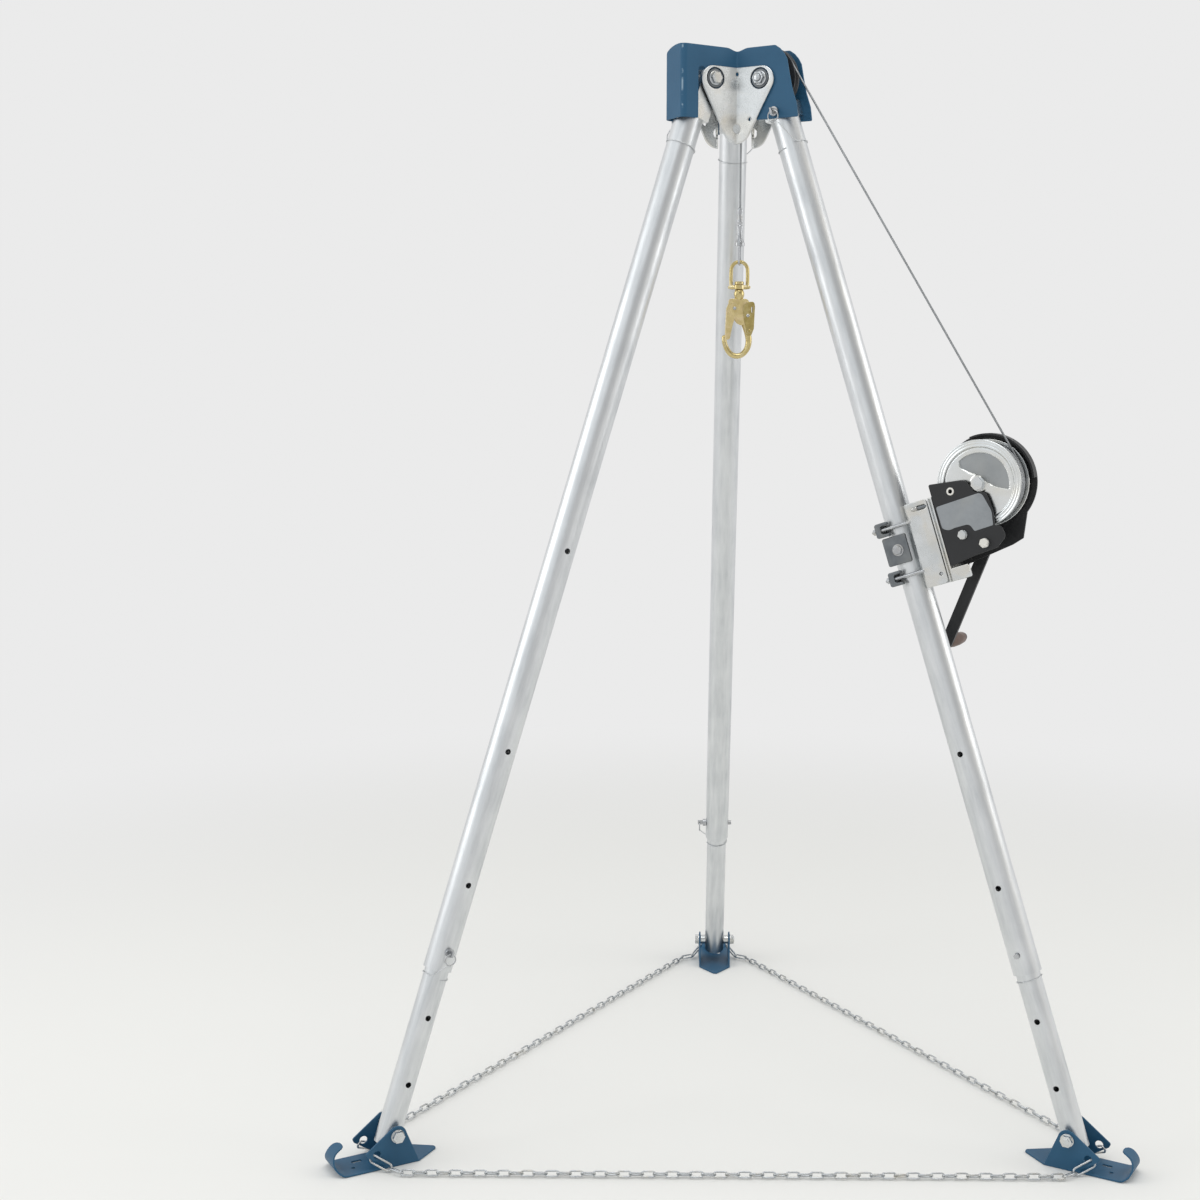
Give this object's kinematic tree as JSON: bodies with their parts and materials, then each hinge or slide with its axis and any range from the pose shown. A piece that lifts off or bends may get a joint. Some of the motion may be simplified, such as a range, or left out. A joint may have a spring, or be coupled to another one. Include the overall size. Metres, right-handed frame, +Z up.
{
  "type": "rescue tripod",
  "caption": "Folding tripod with telescopic pinned legs, pivoting feet, floor chains, anchor head, hand winch, wire line and hook, for lifting over a shaft.",
  "frame": {"origin": "on the floor, at the middle of the foot outline", "axes": "+Z up, +Y towards the rear leg, -Y the front between the left and right legs"},
  "size_m": [1.7858, 1.551, 2.4161],
  "materials": {
    "blue_paint": "powder coat",
    "aluminium_tube": "satin drawn",
    "zinc_plate": "bright zinc",
    "plain_steel": "bright",
    "yellow_zinc": "yellow zinc",
    "black_paint": "semi-gloss",
    "black_nylon": "moulded",
    "brown_grip": "moulded",
    "wire_rope": "stranded wire"
  },
  "bodies": {
    "head": {"head_frame": "blue_paint", "anchor_plate_front": "zinc_plate", "anchor_plate_right": "zinc_plate", "anchor_plate_left": "zinc_plate", "hinge_bolts": "zinc_plate", "hinge_nuts": "zinc_plate", "hinge_sleeves": "plain_steel", "line_drop": "wire_rope", "chain_front": "plain_steel", "chain_right": "plain_steel", "chain_left": "plain_steel"},
    "leg_left": {"leg_tube_left": "aluminium_tube", "leg_fork_left": "zinc_plate", "lock_lanyard_left": "wire_rope", "stop_lanyard_left": "wire_rope"},
    "leg_right": {"leg_tube_right": "aluminium_tube", "leg_fork_right": "zinc_plate", "lock_lanyard_right": "wire_rope", "stop_lanyard_right": "wire_rope", "winch_bracket": "zinc_plate", "winch_base": "zinc_plate", "leg_clamp": "zinc_plate", "clamp_bolts": "plain_steel", "winch_front_plate": "black_paint", "winch_back_plate": "black_paint", "winch_bolts": "zinc_plate", "line_up": "wire_rope"},
    "leg_rear": {"leg_tube_rear": "aluminium_tube", "leg_fork_rear": "zinc_plate", "lock_lanyard_rear": "wire_rope", "stop_lanyard_rear": "wire_rope"},
    "inner_left": {"inner_tube_left": "aluminium_tube", "foot_bolt_left": "zinc_plate"},
    "inner_right": {"inner_tube_right": "aluminium_tube", "foot_bolt_right": "zinc_plate"},
    "inner_rear": {"inner_tube_rear": "aluminium_tube", "foot_bolt_rear": "zinc_plate"},
    "foot_left": {"foot_left": "blue_paint"},
    "foot_right": {"foot_right": "blue_paint"},
    "foot_rear": {"foot_rear": "blue_paint"},
    "lock_pin_left": {"lock_pin_left": "plain_steel"},
    "lock_pin_right": {"lock_pin_right": "plain_steel"},
    "lock_pin_rear": {"lock_pin_rear": "plain_steel"},
    "stop_pin_left": {"stop_pin_left": "plain_steel"},
    "stop_pin_right": {"stop_pin_right": "plain_steel"},
    "stop_pin_rear": {"stop_pin_rear": "plain_steel"},
    "sheave": {"sheave": "black_nylon"},
    "drum": {"drum": "zinc_plate", "drum_gear": "plain_steel", "drum_line": "wire_rope"},
    "crank": {"crank_shaft": "plain_steel", "crank_arm": "black_paint"},
    "grip": {"crank_grip": "brown_grip"},
    "carriage": {"line_eye": "wire_rope", "swivel_eye": "yellow_zinc"},
    "hook": {"hook_body": "yellow_zinc", "hook_rivets": "plain_steel"},
    "gate": {"hook_gate": "yellow_zinc"},
    "hook_lock": {"hook_lock": "yellow_zinc"}
  },
  "joints": [
    {"name": "leg_left_fold", "type": "hinge", "parent": "head", "child": "leg_left", "pos_m": [-0.06928, -0.27411, 2.3461], "axis": [0.5, -0.866, 0], "range_deg": [0, 14], "deforming": ["stop_lanyard_left", "chain_front", "chain_left"]},
    {"name": "leg_right_fold", "type": "hinge", "parent": "head", "child": "leg_right", "pos_m": [0.06928, -0.27411, 2.3461], "axis": [0.5, 0.866, 0], "range_deg": [0, 14], "deforming": ["stop_lanyard_right", "chain_front", "chain_right", "line_up"]},
    {"name": "leg_rear_fold", "type": "hinge", "parent": "head", "child": "leg_rear", "pos_m": [0, -0.15411, 2.3461], "axis": [-1, 0, 0], "range_deg": [0, 14], "deforming": ["stop_lanyard_rear", "chain_right", "chain_left"]},
    {"name": "leg_left_extend", "type": "slide", "parent": "leg_left", "child": "inner_left", "axis": [-0.2791, -0.1611, -0.9466], "range_m": [-0.3048, 0.6096], "deforming": ["chain_front", "chain_left"]},
    {"name": "leg_right_extend", "type": "slide", "parent": "leg_right", "child": "inner_right", "axis": [0.2791, -0.1611, -0.9466], "range_m": [-0.3048, 0.6096], "deforming": ["chain_front", "chain_right"]},
    {"name": "leg_rear_extend", "type": "slide", "parent": "leg_rear", "child": "inner_rear", "axis": [0, 0.3223, -0.9466], "range_m": [-0.3048, 0.6096], "deforming": ["chain_right", "chain_left"]},
    {"name": "foot_left_tilt", "type": "hinge", "parent": "inner_left", "child": "foot_left", "pos_m": [-0.75221, -0.6684, 0.07], "axis": [0.5, -0.866, 0], "range_deg": [-30, 30]},
    {"name": "foot_right_tilt", "type": "hinge", "parent": "inner_right", "child": "foot_right", "pos_m": [0.75221, -0.6684, 0.07], "axis": [0.5, 0.866, 0], "range_deg": [-30, 30]},
    {"name": "foot_rear_tilt", "type": "hinge", "parent": "inner_rear", "child": "foot_rear", "pos_m": [0, 0.63447, 0.07], "axis": [-1, 0, 0], "range_deg": [-30, 30]},
    {"name": "lock_pin_left_pull", "type": "slide", "parent": "leg_left", "child": "lock_pin_left", "axis": [0.5, -0.866, 0], "range_m": [0, 0.085], "deforming": ["lock_lanyard_left"]},
    {"name": "lock_pin_right_pull", "type": "slide", "parent": "leg_right", "child": "lock_pin_right", "axis": [0.5, 0.866, 0], "range_m": [0, 0.085], "deforming": ["lock_lanyard_right"]},
    {"name": "lock_pin_rear_pull", "type": "slide", "parent": "leg_rear", "child": "lock_pin_rear", "axis": [-1, 0, 0], "range_m": [0, 0.085], "deforming": ["lock_lanyard_rear"]},
    {"name": "stop_pin_left_pull", "type": "slide", "parent": "head", "child": "stop_pin_left", "axis": [-0.5, 0.866, 0], "range_m": [0, 0.03], "deforming": ["stop_lanyard_left"]},
    {"name": "stop_pin_right_pull", "type": "slide", "parent": "head", "child": "stop_pin_right", "axis": [-0.5, -0.866, 0], "range_m": [0, 0.03], "deforming": ["stop_lanyard_right"]},
    {"name": "stop_pin_rear_pull", "type": "slide", "parent": "head", "child": "stop_pin_rear", "axis": [1, 0, 0], "range_m": [0, 0.03], "deforming": ["stop_lanyard_rear"]},
    {"name": "drum_spin", "type": "hinge", "parent": "leg_right", "child": "drum", "pos_m": [0.52592, -0.53776, 1.48298], "axis": [-0.5, -0.866, 0], "range_deg": [-70, 1080], "deforming": ["line_up"]},
    {"name": "crank_turn", "type": "hinge", "parent": "leg_right", "child": "crank", "pos_m": [0.5251, -0.53728, 1.36598], "axis": [-0.5, -0.866, 0], "range_deg": [-3604, 237.33]},
    {"name": "sheave_spin", "type": "hinge", "parent": "head", "child": "sheave", "pos_m": [0.06928, -0.27411, 2.3461], "axis": [-0.5, -0.866, 0], "range_deg": [-92.15, 1392.91]},
    {"name": "hook_travel", "type": "slide", "parent": "head", "child": "carriage", "axis": [0, 0, -1], "range_m": [-0.10585, 1.60421], "deforming": ["line_drop"]},
    {"name": "grip_spin", "type": "hinge", "parent": "crank", "child": "grip", "pos_m": [0.49938, -0.39542, 1.12326], "axis": [0.5, 0.866, 0], "continuous": true},
    {"name": "hook_swivel", "type": "hinge", "parent": "carriage", "child": "hook", "pos_m": [0.01212, -0.24111, 1.9194], "axis": [0, 0, 1], "continuous": true},
    {"name": "hook_gate_swing", "type": "hinge", "parent": "hook", "child": "gate", "pos_m": [0.00312, -0.24111, 1.856], "axis": [0, -1, 0], "range_deg": [0, 26], "stiffness_Nm_per_rad": 0.3, "springref_deg": -28.65},
    {"name": "hook_lock_press", "type": "hinge", "parent": "hook", "child": "hook_lock", "pos_m": [0.03312, -0.24111, 1.841], "axis": [0, 1, 0], "range_deg": [0, 6], "stiffness_Nm_per_rad": 0.5, "springref_deg": -17.19}
  ],
  "couplings": [
    {"joint": "crank_turn", "follows": "drum_spin", "ratio": -3.3333},
    {"joint": "sheave_spin", "follows": "drum_spin", "ratio": 1.2879},
    {"joint": "hook_travel", "follows": "drum_spin", "m_per_rad": 0.085}
  ]
}
